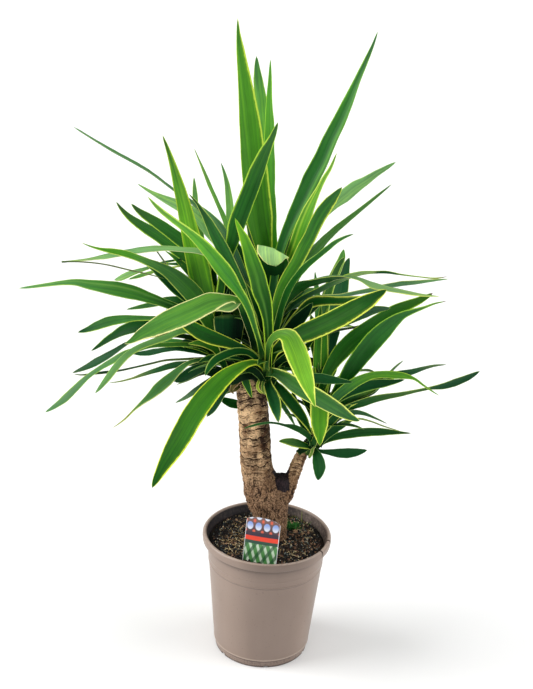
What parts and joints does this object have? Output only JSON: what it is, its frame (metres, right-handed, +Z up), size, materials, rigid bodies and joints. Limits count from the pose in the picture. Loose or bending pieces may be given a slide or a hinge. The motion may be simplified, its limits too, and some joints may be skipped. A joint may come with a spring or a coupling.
{
  "type": "potted yucca plant",
  "caption": "Variegated yucca with a forked cane and three crowns of sword-shaped leaves, growing in a round tapered nursery pot with a plain plant tag.",
  "frame": {"origin": "centre of the pot's underside, on the floor", "axes": "+Z up, -Y towards the front of the plant where the tag stands, +X to the right with the side branch"},
  "size_m": [0.6408, 0.435, 0.9221],
  "materials": {
    "pot_plastic": "satin taupe moulded plastic",
    "potting_soil": "moist dark potting mix with fibres and grit, not rock",
    "bark": "dry ringed cane bark",
    "tag_card": null,
    "leaf_crown_a": "living leaf, semi-gloss green with yellow edges",
    "leaf_crown_b": "living leaf, semi-gloss green with yellow edges",
    "leaf_crown_c": "living leaf, semi-gloss green with yellow edges"
  },
  "bodies": {
    "root": {"leaf_a_back_left": "leaf_crown_a", "leaf_a_bent_back": "leaf_crown_a", "leaf_a_big_droop": "leaf_crown_a", "leaf_a_centre": "leaf_crown_a", "leaf_a_down_right": "leaf_crown_a", "leaf_a_front_bent": "leaf_crown_a", "leaf_a_front_left": "leaf_crown_a", "leaf_a_hanging": "leaf_crown_a", "leaf_a_left_arch": "leaf_crown_a", "leaf_a_left_broad": "leaf_crown_a", "leaf_a_left_dark": "leaf_crown_a", "leaf_a_left_far": "leaf_crown_a", "leaf_a_left_flat": "leaf_crown_a", "leaf_a_left_pale": "leaf_crown_a", "leaf_a_left_under": "leaf_crown_a", "leaf_a_right_dark": "leaf_crown_a", "leaf_a_right_edge": "leaf_crown_a", "leaf_a_right_flat": "leaf_crown_a", "leaf_a_right_front": "leaf_crown_a", "leaf_a_right_long": "leaf_crown_a", "leaf_a_right_low": "leaf_crown_a", "leaf_a_right_mid": "leaf_crown_a", "leaf_a_right_pale": "leaf_crown_a", "leaf_a_right_slim": "leaf_crown_a", "leaf_a_right_tall": "leaf_crown_a", "leaf_a_right_twist": "leaf_crown_a", "leaf_a_tall": "leaf_crown_a", "leaf_a_tall_back": "leaf_crown_a", "leaf_a_tall_slim": "leaf_crown_a", "leaf_b_cross": "leaf_crown_b", "leaf_b_dark_bow": "leaf_crown_b", "leaf_b_far_left": "leaf_crown_b", "leaf_b_folded": "leaf_crown_b", "leaf_b_left_bright": "leaf_crown_b", "leaf_b_left_drop": "leaf_crown_b", "leaf_b_left_low": "leaf_crown_b", "leaf_b_left_lower": "leaf_crown_b", "leaf_b_left_night": "leaf_crown_b", "leaf_b_left_turned": "leaf_crown_b", "leaf_b_left_upper": "leaf_crown_b", "leaf_b_left_wide": "leaf_crown_b", "leaf_b_tail": "leaf_crown_b", "leaf_b_under": "leaf_crown_b", "leaf_b_upright": "leaf_crown_b", "leaf_c_front_bent": "leaf_crown_c", "leaf_c_hanging": "leaf_crown_c", "leaf_c_left_foot": "leaf_crown_c", "leaf_c_left_thread": "leaf_crown_c", "leaf_c_right_arch": "leaf_crown_c", "leaf_c_right_big": "leaf_crown_c", "leaf_c_right_foot": "leaf_crown_c", "leaf_c_right_long": "leaf_crown_c", "leaf_c_right_low": "leaf_crown_c", "leaf_c_right_upper": "leaf_crown_c", "leaf_c_up_dark": "leaf_crown_c", "leaf_c_up_light": "leaf_crown_c", "plant_tag": "tag_card", "pot": "pot_plastic", "soil": "potting_soil", "trunk": "bark"}
  },
  "joints": []
}
